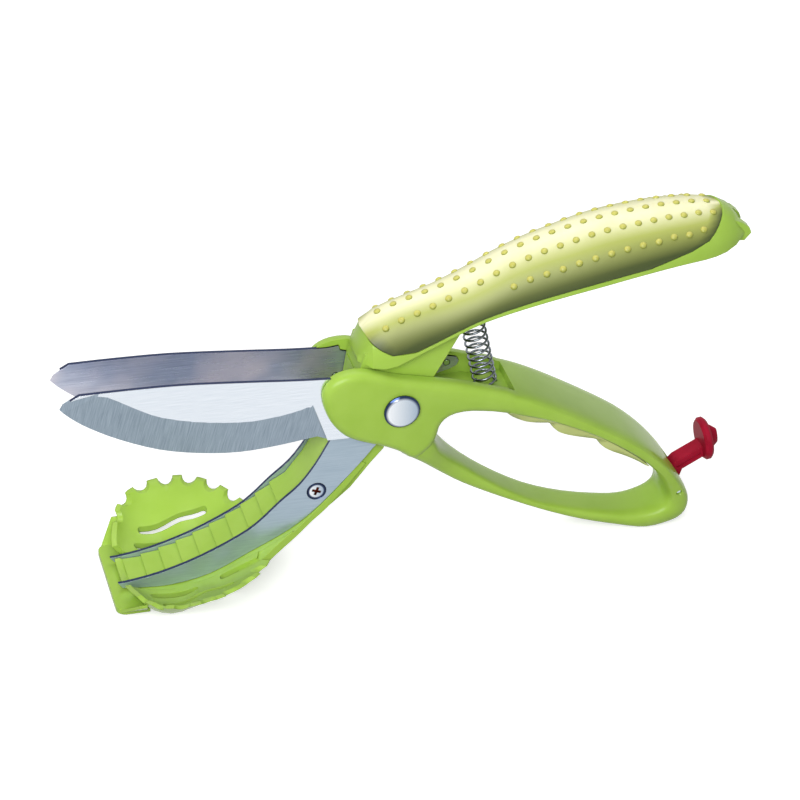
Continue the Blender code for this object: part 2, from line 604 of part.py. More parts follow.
def skin_point(x, turn, depth):
    """A point of the grip's arch sunk square to its surface."""
    spot = grip_point(x, turn, 0.0)
    along = grip_point(x + SKIN_STEP, turn, 0.0) - grip_point(x - SKIN_STEP, turn, 0.0)
    lean = SKIN_STEP / value_at(GRIP_HALF_LINE, x)
    around = grip_point(x, turn + lean, 0.0) - grip_point(x, turn - lean, 0.0)
    return spot + around.cross(along).normalized() * depth


def grip_arch(name, start, end, stations, depth, drop):
    """A solid arch between two places, its flat underside dropped below the rim."""
    rings = []
    for i in range(stations + 1):
        x = start + (end - start) * i / stations
        ring = [grip_point(x, math.pi * (k / GRIP_TURNS - 0.5), depth) for k in range(GRIP_TURNS + 1)]
        if drop:
            ring.append(ring[-1] - Vector((0, 0, drop)))
            ring.append(ring[0] - Vector((0, 0, drop)))
        rings.append(ring)
    return loft(name, rings)


def skin_body(name, outer, inner, margin, material=None):
    """The soft skin's space: part of the arch between two depths, its ends drawn as arcs."""
    rings = []
    for i in range(SKIN_COLUMNS + 1):
        ring = []
        for depth, turns in ((outer, range(SKIN_ROWS + 1)), (inner, range(SKIN_ROWS, -1, -1))):
            for j in turns:
                turn = SKIN_EDGE_TURN * (2 * j / SKIN_ROWS - 1)
                front = value_at(SKIN_FRONT, abs(turn)) - margin
                rear = value_at(SKIN_REAR, abs(turn)) + margin
                x = front + (rear - front) * i / SKIN_COLUMNS
                if j in (0, SKIN_ROWS):
                    turn *= 1 + margin / (SKIN_EDGE_TURN * value_at(GRIP_HALF_LINE, x))
                ring.append(skin_point(x, turn, depth))
        rings.append(ring)
    return loft(name, rings, material, folded_caps=True)


def bed_line():
    """The arm's toothed bed, from the pivot side to the tip."""
    path = smooth_line(sized(BED_SHARES, ARM_REACH), 8)
    lengths = [0.0]
    for i in range(1, len(path)):
        lengths.append(lengths[-1] + (path[i] - path[i - 1]).length)

    def along(distance):
        i = 1
        while i < len(path) - 1 and lengths[i] < distance:
            i += 1
        share = (distance - lengths[i - 1]) / (lengths[i] - lengths[i - 1])
        return path[i - 1].lerp(path[i], share)

    line = []
    pitch = lengths[-1] / BED_TEETH
    for k in range(BED_TEETH):
        low, high = along(k * pitch), along((k + 1) * pitch)
        run = (high - low).normalized()
        line.append(low)
        line.append(high + Vector((run.y, -run.x)) * BED_TOOTH_DEPTH)
    return line


def rim_points():
    """Half of the scoop's rim, from the front middle round to the rear middle."""
    plan = sized(RIM_PLAN_SHARES, ARM_REACH, SCOOP_HALF)
    return [Vector((p.x, p.y, share * ARM_REACH)) for p, share in zip(plan, RIM_HEIGHT_SHARES)]


def rim_curve():
    """The scoop's rim all the way round, one point for each sector about its middle."""
    half = rim_points()
    line = smooth_loop(half + [Vector((p.x, -p.y, p.z)) for p in half[-2:0:-1]], 12)
    turns = [math.atan2(p.y, p.x - BOWL_MIDDLE) for p in line]
    rim = []
    for k in range(BOWL_SECTORS):
        want = math.pi - 2 * math.pi * k / BOWL_SECTORS
        gaps = [abs(math.atan2(math.sin(turn - want), math.cos(turn - want))) for turn in turns]
        rim.append(line[gaps.index(min(gaps))])
    return rim


def bowl_swell(share, lean):
    """How much of the way from floor to rim the bowl has risen, at one share of the way out."""
    flat = BOWL_FLAT_SHARE * lean
    rise = max(share - flat, 0.0) / (1 - flat)
    power = FRONT_POWER + (WING_POWER - FRONT_POWER) * lean
    return BOWL_SPREAD_SHARE * share**2 + (1 - BOWL_SPREAD_SHARE) * rise**power


def build_bowl():
    """The scoop's bowl: upright in front, with two wings that flare to the sides."""
    rim = rim_curve()

    def ring_at(share, wall, sink):
        ring = []
        for spot in rim:
            out = Vector((spot.x - BOWL_MIDDLE, spot.y))
            lean = abs(out.y / out.length)**LEAN_POWER
            out = out.normalized() * (out.length - wall) * share
            x = BOWL_MIDDLE + out.x
            floor = value_at(FLOOR_LINE, x) - sink
            ring.append(Vector((x, out.y, floor + (spot.z - floor) * bowl_swell(share, lean))))
        return ring

    rings = [ring_at(share, BOWL_WALL, 0.0) for share in BOWL_RING_SHARES]
    rings += [ring_at(share, 0.0, BOWL_FLOOR_THICK) for share in BOWL_RING_SHARES[::-1]]
    return loft("bowl", rings)


def build_rim_notches():
    """Round notches along the scoop's rim, as one cutter."""
    rim = smooth_line(rim_points(), 16)
    verts, faces = [], []
    travelled, target, made = 0.0, NOTCH_START, 0
    for i in range(1, len(rim)):
        travelled += (rim[i] - rim[i - 1]).length
        if travelled < target or made == NOTCHES:
            continue
        target += NOTCH_PITCH
        made += 1
        along = (rim[i] - rim[i - 1]).normalized()
        out = Vector((along.y, -along.x, 0)).normalized()
        flat = Vector((-out.y, out.x, 0))
        centre = rim[i] + Vector((0, 0, NOTCH_RADIUS - NOTCH_DEPTH))
        for side in (1, -1):
            base = len(verts)
            for reach in (-NOTCH_REACH, NOTCH_REACH):
                for k in range(SMALL_ARC_STEPS):
                    turn = 2 * math.pi * k / SMALL_ARC_STEPS
                    point = centre + out * reach + flat * NOTCH_RADIUS * math.cos(turn)
                    point.z += NOTCH_RADIUS * math.sin(turn)
                    verts.append(Vector((point.x, side * point.y, point.z)))
            near = [base + k for k in range(SMALL_ARC_STEPS)]
            far = [k + SMALL_ARC_STEPS for k in near]
            drum = [(near[k - 1], near[k], far[k], far[k - 1]) for k in range(SMALL_ARC_STEPS)]
            drum += [tuple(near[::-1]), tuple(far)]
            faces += [face[::side] for face in drum]
    body = add_body("rim_notches", verts, faces)
    face_outward(body)
    return body


def slot_tool(name, start, end, low, high):
    """An upright cutter with round ends, between two plan points."""
    along = (end - start).normalized()
    across = Vector((-along.y, along.x))
    outline = []
    for centre, turn in ((start, 1), (end, -1)):
        for k in range(SLOT_STEPS + 1):
            angle = math.pi * k / SLOT_STEPS
            reach = across * math.cos(angle) - along * math.sin(angle)
            outline.append(centre + reach * turn * WING_SLOT_HALF)
    return flat_plate(name, outline, low, high)


def build_lip():
    """The thin square lip in front of the scoop, with a web from each end up to the rim."""
    front, back = LIP_FRONT_SHARE * ARM_REACH, LIP_BACK_SHARE * ARM_REACH
    half, top = LIP_HALF_SHARE * SCOOP_HALF, LIP_TOP_SHARE * ARM_REACH
    outline = [Vector((back, -half)), Vector((back, half))]
    for side in (1, -1):
        centre = Vector((front + LIP_CORNER, side * (half - LIP_CORNER)))
        for k in range(CORNER_STEPS + 1):
            turn = math.pi / 2 * (k if side > 0 else CORNER_STEPS - k) / CORNER_STEPS
            outline.append(centre + Vector((-math.sin(turn), side * math.cos(turn))) * LIP_CORNER)
    lip = flat_plate("lip_plate", outline, top - LIP_THICK, top)
    for side in (1, -1):
        rings = []
        for table, height in zip((WEB_LOW_SHARES, WEB_HIGH_SHARES), WEB_HEIGHT_SHARES):
            start, end = sized(table, ARM_REACH, SCOOP_HALF)
            high = height * ARM_REACH
            low = high - WEB_THICK
            rings.append([Vector((start.x, side * start.y, high)), Vector((end.x, side * end.y, high)),
                          Vector((end.x, side * end.y, low)), Vector((start.x, side * start.y, low))])
        join(lip, loft(f"lip_web_{side}", rings))
    return lip


def build_flange():
    """The flange that the counter blades stand on, widening into the scoop's rear rim."""
    top = sized(FLANGE_TOP_SHARES, ARM_REACH)
    stations = [Vector((p.x, p.y, share * SCOOP_HALF)) for p, share in zip(top, FLANGE_HALF_SHARES)]
    line = smooth_line(stations, 3)
    rings = []
    for i, spot in enumerate(line):
        run = (line[min(i + 1, len(line) - 1)] - line[max(i - 1, 0)]).xy.normalized()
        ring = []
        for half, deep in ((spot.z, 0.0), (spot.z, FLANGE_DEEP), (FLANGE_LOW_HALF, FLANGE_LOW_DEEP)):
            ring.append(Vector((spot.x - run.y * deep, half, spot.y + run.x * deep)))
        ring += [Vector((p.x, -p.y, p.z)) for p in ring[::-1]]
        rings.append(ring)
    return loft("flange", rings)


def ground_tool(name, middle):
    """Everything below the table, round one place along X, to leave a flat foot."""
    table, half = -PIVOT_HEIGHT, SCOOP_HALF
    outline = [Vector((middle - half, table - half)), Vector((middle + half, table - half)),
               Vector((middle + half, table)), Vector((middle - half, table))]
    return plate(name, outline, -half, half)


def build_scoop():
    """The bowl with its notched rim, its slots and the room for the blades, and the flange behind it."""
    bowl, flange = build_bowl(), build_flange()
    bowl.modifiers.new("flat_faces", "TRIANGULATE")
    slots = sized(WING_SLOT_SHARES, ARM_REACH, SCOOP_HALF)
    bed, tip_slot = shrink(strip_outline(), -FIT_GAP), sized(TIP_SLOT_SHARES, ARM_REACH)
    inner, outer = STRIP_OUTER - FIT_GAP, KNIFE_OUTER + FIT_GAP
    for side in (1, -1):
        strip_bed = plate(f"strip_bed_{side}", bed, side * HUB_HALF, side * outer)
        cut(bowl, strip_bed)
        cut(flange, strip_bed)
        cut(bowl, plate(f"tip_slot_{side}", tip_slot, side * inner, side * (outer + TIP_SLOT_SPREAD)))
        for i in range(0, len(slots), 2):
            start, end = [Vector((p.x, side * p.y)) for p in slots[i:i + 2]]
            cut(bowl, slot_tool(f"wing_slot_{i}_{side}", start, end, -PIVOT_HEIGHT - CUT_OVERRUN,
                                WING_SLOT_RISE - PIVOT_HEIGHT))
    cut(bowl, build_rim_notches(), ground_tool("scoop_ground", BOWL_MIDDLE))
    return bowl, flange


def build_grip(green):
    """One moulding: hollow grip, neck and hub, and the arm that ends in the scoop."""
    front, rear = GRIP_TOP_LINE[0].x, GRIP_TOP_LINE[-1].x
    grip = grip_arch("scoop_and_grip", front, rear, GRIP_STATIONS, 0.0, 0.0)
    grip.data.materials.append(green)
    hollow_ends = [share * GRIP_REACH for share in HOLLOW_END_SHARES]
    cut(grip, grip_arch("grip_hollow", *hollow_ends, HOLLOW_STATIONS, GRIP_WALL, HOLLOW_DROP))
    join(grip, plate("fork", sized(FORK_SHARES, GRIP_REACH), -FORK_HALF, FORK_HALF))
    cut(grip, plate("fork_notch", sized(FORK_NOTCH_SHARES, GRIP_REACH), -FORK_GAP_HALF, FORK_GAP_HALF))
    cut(grip, skin_body("skin_bed", -CUT_OVERRUN, SKIN_THICK + FIT_GAP, FIT_GAP))
    neck = plate("neck", sized(NECK_SHARES, GRIP_REACH), -NECK_HALF, NECK_HALF)
    bed, outer = shrink(strip_outline(), -FIT_GAP), KNIFE_OUTER + FIT_GAP
    for side in (1, -1):
        cut(neck, plate(f"neck_bed_{side}", bed, side * HUB_HALF, side * outer))
    join(grip, neck)
    join(grip, disc("hub", (0, 0), HUB_RADIUS, -HUB_HALF, HUB_HALF))
    places = [share * ARM_REACH for share in ARM_FLOOR_SHARES]
    floor = [Vector((x, value_at(FLOOR_LINE, x) - BED_SINK)) for x in places]
    arm = sized(ARM_TOP_SHARES, ARM_REACH) + bed_line() + floor + sized(ARM_UNDER_SHARES, ARM_REACH)
    join(grip, plate("arm", arm, -HUB_HALF, HUB_HALF))
    bowl, flange = build_scoop()
    join(grip, flange)
    combine(grip, bowl, "UNION", "MANIFOLD")
    join(grip, build_lip())
    for side in (1, -1):
        reach = (side * (STRIP_INNER - SCREW_LENGTH - FIT_GAP), side * (HUB_HALF + CUT_OVERRUN))
        cut(grip, disc(f"screw_bore_{side}", SCREW_SPOT, SCREW_SHAFT_RADIUS + FIT_GAP, *reach))
    end = HUB_HALF + CUT_OVERRUN
    cut(grip, disc("hub_bore", (0, 0), SLEEVE_RADIUS + FIT_GAP, -end, end))
    return grip


def band_line():
    """Stations round the finger hole: outer point, inner point, half width and squareness."""
    stations = []
    for far, near, share, power in zip(BAND_OUTER, BAND_INNER, BAND_HALF_SHARES, BAND_POWERS):
        stations.append(Vector((*far, *near, share * CHEEK_OUTER, power)))
    return smooth_line(stations, BAND_STEPS)


def band_rings():
    """Each station's rounded section between its outer and inner point."""
    rings = []
    for station in band_line():
        far, near, half, power = Vector(station[0:2]), Vector(station[2:4]), station[4], station[5]
        middle, reach = (far + near) / 2, (far - near) / 2
        ring = []
        for k in range(BAND_SIDES):
            turn = 2 * math.pi * k / BAND_SIDES
            c, s = math.cos(turn), math.sin(turn)
            spot = middle + reach * math.copysign(abs(s)**(2 / power), s)
            ring.append(Vector((spot.x, math.copysign(abs(c)**(2 / power), c) * half, spot.y)))
        rings.append(ring)
    return rings


def build_loop(green):
    """The loop handle: two cheeks with a pocket between them, and the band round the finger hole."""
    housing = smooth_loop(sized(HOUSING_SHARES, LOOP_REACH), 2)
    loop = rounded_plate("loop_handle", housing, CHEEK_OUTER, HOUSING_EDGE_REACH, HOUSING_EDGE_DEPTH, green)
    join(loop, loft("band", band_rings()))
    cut(loop, ground_tool("loop_ground", LOOP_FOOT_SHARE * LOOP_REACH))
    cut(loop, plate("pocket", sized(POCKET_SHARES, LOOP_REACH), -POCKET_HALF, POCKET_HALF))
    cut(loop, disc("eye_pocket", (0, 0), STRIP_EYE_RADIUS + 2 * FIT_GAP, -POCKET_HALF, POCKET_HALF))
    cut(loop, plate("knife_recess", shrink(knife_outline(), -FIT_GAP), -CHEEK_INNER, CHEEK_INNER))
    reach = CHEEK_OUTER + CUT_OVERRUN
    cut(loop, disc("bolt_bore", (0, 0), BOLT_RADIUS + FIT_GAP, -reach, 0.0))
    cut(loop, disc("nut_bore", (0, 0), NUT_SHAFT_RADIUS + FIT_GAP, POCKET_HALF - CUT_OVERRUN, reach))
    pin_bore = TANG_PIN_RADIUS + FIT_GAP
    for side in (1, -1):
        ends = (side * (POCKET_HALF - CUT_OVERRUN), side * (CHEEK_OUTER - TANG_PIN_COVER + FIT_GAP))
        for i, spot in enumerate(TANG_PIN_SPOTS):
            cut(loop, disc(f"tang_bore_{i}_{side}", spot, pin_bore, *ends, steps=SMALL_ARC_STEPS))
    slot = [LATCH_PIN + point for point in sized(LATCH_SLOT_SHARES, LATCH_REACH)]
    slot_half = LATCH_NECK_HALF + FIT_GAP
    cut(loop, plate("latch_slot", slot, -slot_half, slot_half))
    end = LATCH_PIN_HALF + CUT_OVERRUN
    cut(loop, disc("latch_bore", LATCH_PIN, LATCH_PIN_RADIUS + FIT_GAP, -end, end, steps=SMALL_ARC_STEPS))
    return loop


def build_pad(olive):
    """Soft pad that fits the underside of the top bar, with three swells for the fingers."""
    stations = band_line()
    rings = []
    for spot in smooth_line(PAD_DEPTHS, PAD_STEPS):
        i = 0
        while stations[i + 1][2] < spot.x:
            i += 1
        share = (spot.x - stations[i][2]) / (stations[i + 1][2] - stations[i][2])
        station = stations[i] * (1 - share) + stations[i + 1] * share
        far, near, half, power = Vector(station[0:2]), Vector(station[2:4]), station[4], station[5]
        middle, reach = (far + near) / 2, (far - near) / 2
        up = reach.normalized()
        top, low = [], []
        for k in range(PAD_SIDES + 1):
            across = 2 * k / PAD_SIDES - 1
            y = across * PAD_HALF
            seat = middle - reach * (1 - (abs(y) / half)**power)**(1 / power) - up * FIT_GAP
            deep = PAD_SIDE_DEPTH + spot.y * (1 - abs(across)**PAD_POWER)**(1 / PAD_POWER)
            foot = seat - up * deep
            top.append(Vector((seat.x, y, seat.y)))
            low.append(Vector((foot.x, y, foot.y)))
        rings.append(top + low[::-1])
    return loft("finger_pad", rings, olive, folded_caps=True)


def build_bolt(steel):
    """Domed bolt from the near cheek, and the sleeve and nut that belong to it."""
    inner = CHEEK_OUTER + FIT_GAP
    head = [(radius * HEAD_RADIUS, inner + height * HEAD_HEIGHT) for radius, height in HEAD_SHARES]
    shaft_end = KNIFE_OUTER + FIT_GAP
    near_head = [(radius, -y) for radius, y in head]
    bolt_shaft = [(BOLT_RADIUS, shaft_end), (BOLT_RADIUS, -inner)]
    nut_shaft = [(NUT_SHAFT_RADIUS, inner), (NUT_SHAFT_RADIUS, shaft_end + FIT_GAP)]
    bolt = turned("pivot_bolt", bolt_shaft + near_head, steel)
    nut = turned("pivot_nut", head[::-1] + nut_shaft, steel)
    sleeve = disc("pivot_sleeve", (0, 0), SLEEVE_RADIUS, -WASHER_OUTER, WASHER_OUTER, steel)
    end = WASHER_OUTER + CUT_OVERRUN
    cut(sleeve, disc("sleeve_bore", (0, 0), BOLT_RADIUS + FIT_GAP, -end, end))
    return bolt, nut, sleeve


def build_washer(name, side, nylon):
    low, high = sorted((side * WASHER_INNER, side * WASHER_OUTER))
    washer = disc(name, (0, 0), WASHER_RADIUS, low, high, nylon)
    cut(washer, disc(name + "_bore", (0, 0), SLEEVE_RADIUS + FIT_GAP, low - CUT_OVERRUN, high + CUT_OVERRUN))
    return washer


def build_latch(red):
    """The red latch about its pin: barrel, recessed neck, round disc and thumb ridge."""
    neck_half = LATCH_NECK_HALF
    latch = disc("latch", (0, 0), LATCH_BARREL_RADIUS, -neck_half, neck_half, red)
    neck = plate("latch_neck", sized(LATCH_NECK_SHARES, LATCH_REACH), -neck_half, neck_half)
    recess = sized(LATCH_RECESS_SHARES, LATCH_REACH)
    for side in (1, -1):
        cut(neck, plate(f"neck_recess_{side}", recess, side * (neck_half - LATCH_RECESS_DEPTH),
                        side * (neck_half + CUT_OVERRUN)))
    join(latch, neck)
    centre = sized(LATCH_DISC_SHARES, LATCH_REACH)[0]
    outward = Vector((math.cos(LATCH_TILT), math.sin(LATCH_TILT)))
    across = Vector((-outward.y, outward.x))

    def ring(depth, radius, half_width):
        points = []
        for k in range(ARC_STEPS):
            turn = 2 * math.pi * k / ARC_STEPS
            spot = centre + outward * depth + across * radius * math.cos(turn)
            points.append(Vector((spot.x, half_width * math.sin(turn), spot.y)))
        return points

    rim, edge = LATCH_DISC_RADIUS, LATCH_DISC_EDGE
    join(latch, loft("latch_disc", [ring(-edge, rim - edge, rim - edge), ring(0.0, rim, rim),
                                    ring(LATCH_DISC_THICK - edge, rim, rim),
                                    ring(LATCH_DISC_THICK, rim - edge, rim - edge)]))
    rings = []
    for depth, share in LATCH_RIDGE_SHARES:
        reach = depth * (LATCH_DISC_THICK + LATCH_RIDGE_DEPTH)
        rings.append(ring(reach, share * LATCH_RIDGE_RADIUS, share * LATCH_RIDGE_HALF))
    join(latch, loft("latch_ridge", rings))
    end = neck_half + CUT_OVERRUN
    cut(latch, disc("latch_pin_hole", (0, 0), LATCH_PIN_RADIUS + FIT_GAP, -end, end, steps=SMALL_ARC_STEPS))
    return latch


def spring_frame():
    """The spring's foot and top in space, with the three directions that its coils follow."""
    foot, top = Vector((SPRING_FOOT.x, 0, SPRING_FOOT.y)), Vector((SPRING_TOP.x, 0, SPRING_TOP.y))
    axis, side = (top - foot).normalized(), Vector((0, 1, 0))
    return foot, top, axis, side.cross(axis), side


def build_spring(steel):
    """The wound return spring: one wire that climbs the line between its two seats."""
    foot, top, axis, across, side = spring_frame()
    wire = 2 * SPRING_WIRE
    climb = (top - foot).length - 2 * wire
    count = SPRING_COILS * SPRING_POINTS
    points = [foot + across * SPRING_RADIUS]
    for i in range(count + 1):
        turn = 2 * math.pi * i / SPRING_POINTS
        rise = wire + climb * i / count
        points.append(foot + axis * rise + (across * math.cos(turn) + side * math.sin(turn)) * SPRING_RADIUS)
    points.append(top + across * SPRING_RADIUS)
    closest = min((point - other).length for i, point in enumerate(points) for other in points[i + 6:])
    print("spring least gap to itself, mm:", round((closest - wire) / MM, 2))
    curve = bpy.data.curves.new("return_spring", "CURVE")
    curve.dimensions = "3D"
    spline = curve.splines.new("POLY")
    spline.points.add(len(points) - 1)
    for knot, point in zip(spline.points, points):
        knot.co = (*point, 1.0)
    curve.bevel_depth = SPRING_WIRE
    curve.bevel_resolution = 1
    curve.use_fill_caps = True
    curve.materials.append(steel)
    spring = bpy.data.objects.new("return_spring", curve)
    bpy.context.scene.collection.objects.link(spring)
    return spring


def spring_post(name, at_top, back_radius, radius, back, front):
    """A round post along the spring's axis, from behind its seat to inside the coils."""
    foot, top, axis, across, side = spring_frame()
    seat, inward = (top, -axis) if at_top else (foot, axis)
    rings = []
    for reach, wide in ((-back, back_radius), (front, radius)):
        ring = []
        for k in range(SMALL_ARC_STEPS):
            turn = 2 * math.pi * k / SMALL_ARC_STEPS
            ring.append(seat + inward * reach + (across * math.cos(turn) + side * math.sin(turn)) * wide)
        rings.append(ring)
    return loft(name, rings)


def main():
    clear_scene()
    green = finish_material("green_plastic", GREEN, 0.22, 0.0)
    cream = finish_material("cream_rubber", CREAM, 0.60, 0.0)
    olive = finish_material("olive_rubber", OLIVE, 0.55, 0.0)
    steel = finish_material("brushed_steel", STEEL, 0.28, 1.0)
    red = finish_material("red_plastic", RED, 0.35, 0.0)
    nylon = finish_material("white_nylon", NYLON, 0.5, 0.0)

    frame = joint_empty("loop_frame", -PIVOT_BACK, PIVOT_HEIGHT)
    lever = joint_empty("grip_pivot", -PIVOT_BACK, PIVOT_HEIGHT)
    latch_hinge = joint_empty("latch_hinge", LATCH_PIN.x - PIVOT_BACK, LATCH_PIN.y + PIVOT_HEIGHT)

    loop = build_loop(green)
    post = SPRING_POST_RADIUS
    join(loop, spring_post("foot_post", False, post, post, SPRING_POST_ROOT, SPRING_POST_HEIGHT))
    put_under(frame, loop, build_pad(olive), *build_bolt(steel), build_spring(steel))
    grip = build_grip(green)
    join(grip, spring_post("top_seat", True, post, SPRING_SEAT_RADIUS, SPRING_SEAT_RISE, -FIT_GAP))
    join(grip, spring_post("top_post", True, post, post, SPRING_POST_ROOT, SPRING_POST_HEIGHT))
    put_under(lever, grip, skin_body("soft_grip", 0.0, SKIN_THICK, 0.0, cream))
    for word, side in (("near", -1), ("far", 1)):
        put_under(frame, build_knife(f"knife_{word}", side, steel), *build_tang_pins(side, word, steel))
        put_under(frame, build_washer(f"washer_{word}", side, nylon))
        put_under(lever, build_strip(f"counter_blade_{word}", side, steel))
        put_under(lever, build_screw(f"blade_screw_{word}", side, steel))
    put_under(frame, disc("latch_pin", LATCH_PIN, LATCH_PIN_RADIUS, -LATCH_PIN_HALF, LATCH_PIN_HALF, steel,
                          steps=SMALL_ARC_STEPS))
    put_under(latch_hinge, build_latch(red))


main()
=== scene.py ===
# %% [markdown]
# # Salad scissors, dressed for the camera
# The frame holds the tool's true shapes and joints. This file gives each piece
# the surface that it has in the hand: lime green mouldings, a dotted soft skin,
# ground and polished steel, a wound spring and a crimson latch. It then sets the
# tool on a pale studio floor.

# %% Load the frame and note its box
import json
import math

import bpy
from mathutils import Matrix, Vector

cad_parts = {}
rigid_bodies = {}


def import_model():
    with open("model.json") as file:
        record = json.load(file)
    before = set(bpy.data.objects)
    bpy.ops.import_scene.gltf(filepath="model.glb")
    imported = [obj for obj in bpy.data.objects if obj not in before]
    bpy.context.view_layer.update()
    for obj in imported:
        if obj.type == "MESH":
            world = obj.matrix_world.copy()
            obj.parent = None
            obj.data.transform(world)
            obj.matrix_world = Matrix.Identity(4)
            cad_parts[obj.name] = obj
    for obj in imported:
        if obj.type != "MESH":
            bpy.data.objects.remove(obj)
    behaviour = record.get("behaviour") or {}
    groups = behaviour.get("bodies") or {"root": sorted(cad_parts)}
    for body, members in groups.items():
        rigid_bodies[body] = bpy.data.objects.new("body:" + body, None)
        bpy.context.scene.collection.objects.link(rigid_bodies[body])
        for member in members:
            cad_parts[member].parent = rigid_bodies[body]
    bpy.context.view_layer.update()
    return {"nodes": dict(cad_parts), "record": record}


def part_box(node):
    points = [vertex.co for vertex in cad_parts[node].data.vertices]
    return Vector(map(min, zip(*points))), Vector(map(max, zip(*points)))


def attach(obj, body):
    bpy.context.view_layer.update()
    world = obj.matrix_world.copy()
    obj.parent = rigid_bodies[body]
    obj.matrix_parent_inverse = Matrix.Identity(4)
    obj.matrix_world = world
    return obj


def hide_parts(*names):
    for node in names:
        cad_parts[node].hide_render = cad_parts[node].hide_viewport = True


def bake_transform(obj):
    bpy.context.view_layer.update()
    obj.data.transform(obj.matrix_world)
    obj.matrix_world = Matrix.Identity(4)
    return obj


for item in list(bpy.data.objects):
    bpy.data.objects.remove(item, do_unlink=True)
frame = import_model()
MM = 0.001
squeeze = next(joint for joint in frame["record"]["behaviour"]["joints"] if joint["name"] == "squeeze")
PIVOT = Vector(squeeze["pos_m"])

# %% [markdown]
# A real camera far from its subject flattens it. This one stands 1.26 m away with
# a long lens, 15 degrees to the left of square and 34 degrees up. The last 2.2
# degrees turn the view so that the scoop and the loop stand level on the floor.

# %% Camera at the photographed angle
AZIMUTH = math.radians(-15.1)
ELEVATION = math.radians(34.0)
LEVEL = Matrix.Rotation(math.radians(-2.2), 3, "Y")
DISTANCE = 1260 * MM
LENS = 141.75
RIVET = Vector((0, -19.5, 0)) * MM
RIVET_SHARE = Vector((0.001048, -0.004476))

right = Vector((math.cos(AZIMUTH), math.sin(AZIMUTH), 0))
up = Vector((-math.sin(AZIMUTH) * math.sin(ELEVATION), math.cos(AZIMUTH) * math.sin(ELEVATION),
             math.cos(ELEVATION)))
away = Vector((math.sin(AZIMUTH) * math.cos(ELEVATION), -math.cos(AZIMUTH) * math.cos(ELEVATION),
               math.sin(ELEVATION)))
eye = RIVET - (right * RIVET_SHARE.x + up * RIVET_SHARE.y - away) * DISTANCE
turned = Matrix([LEVEL @ right, LEVEL @ up, LEVEL @ away]).transposed().to_4x4()
camera = bpy.data.objects.new("camera", bpy.data.cameras.new("camera"))
camera.data.lens = LENS
camera.data.sensor_width = 36
camera.data.clip_start = 0.05
camera.matrix_world = Matrix.Translation(LEVEL @ eye + PIVOT) @ turned
bpy.context.scene.collection.objects.link(camera)
bpy.context.scene.camera = camera
print("camera at", [round(v, 3) for v in camera.location])

# %% [markdown]
# Colours are written as the hex values that a designer would name and turned to
# Blender's linear light by one function. One more function adds a node to a
# material, sets its values and makes its links, and a third mixes two colours.

# %% Colour and node helpers
COLOUR_A, COLOUR_B, COLOUR_OUT = 6, 7, 2


def linear(hex_colour):
    """An sRGB hex colour as linear red, green, blue and alpha."""
    values = [int(hex_colour[i:i + 2], 16) / 255 for i in (1, 3, 5)]
    return [v / 12.92 if v <= 0.04045 else ((v + 0.055) / 1.055)**2.4 for v in values] + [1.0]


def add_node(tree, kind, inputs=None, **settings):
    """A node with its settings, its input values and its links from other sockets."""
    made = tree.nodes.new(kind)
    for key, value in settings.items():
        setattr(made, key, value)
    for key, value in (inputs or {}).items():
        if isinstance(value, bpy.types.NodeSocket):
            tree.links.new(value, made.inputs[key])
        else:
            made.inputs[key].default_value = value
    return made


def new_material(name, **values):
    """A Principled material with plain values on its own sockets."""
    material = bpy.data.materials.new(name)
    material.use_nodes = True
    shader = material.node_tree.nodes["Principled BSDF"]
    for key, value in values.items():
        shader.inputs[key.replace("_", " ").title().replace("Ior", "IOR")].default_value = value
    return material, material.node_tree, shader


def ramped(tree, value, low, high, to_low=0.0, to_high=1.0):
    """A value spread from one range to another, and held at its ends."""
    return add_node(tree, "ShaderNodeMapRange", {"Value": value, "From Min": low, "From Max": high,
                                                 "To Min": to_low, "To Max": to_high}).outputs["Result"]


def mixed(tree, share, first, second):
    """The colour that lies one share of the way from the first to the second."""
    node = add_node(tree, "ShaderNodeMix", {0: share}, data_type="RGBA")
    for socket, colour in ((node.inputs[COLOUR_A], first), (node.inputs[COLOUR_B], second)):
        if isinstance(colour, bpy.types.NodeSocket):
            tree.links.new(colour, socket)
        else:
            socket.default_value = linear(colour)
    return node.outputs[COLOUR_OUT]


def noise(tree, place, size, detail=3.0, rough=0.5):
    """Soft noise whose grains are about one size across."""
    return add_node(tree, "ShaderNodeTexNoise", {"Vector": place, "Scale": 1 / size, "Detail": detail,
                                                 "Roughness": rough}).outputs["Fac"]


def own_place(tree):
    return add_node(tree, "ShaderNodeTexCoord").outputs["Object"]


def surface(tree, shader, height, depth, edge):
    """Bump from one height, over edges that are rounded by one radius."""
    round_edge = add_node(tree, "ShaderNodeBevel", {"Radius": edge}, samples=4)
    bump = add_node(tree, "ShaderNodeBump", {"Height": height, "Distance": depth, "Strength": 1.0,
                                             "Normal": round_edge.outputs["Normal"]})
    tree.links.new(bump.outputs["Normal"], shader.inputs["Normal"])


def toned(tree, place, size, first, second):
    """Two close colours in soft patches about one size across."""
    return mixed(tree, ramped(tree, noise(tree, place, size), 0.35, 0.65), first, second)


def let_light_in(shader, radius):
    """A little light scattered under the surface, by colour."""
    shader.inputs["Subsurface Weight"].default_value = 0.1
    shader.inputs["Subsurface Radius"].default_value = radius
    shader.inputs["Subsurface Scale"].default_value = 1.5 * MM


# %% [markdown]
# The green pieces are injection-moulded plastic, polished in the mould. Up close
# the gloss carries a faint orange-peel wave, and the body is a little translucent,
# so thin walls such as the scoop glow. Moulded edges are never knife-sharp, so the
# normals roll over each edge by about half a millimetre.

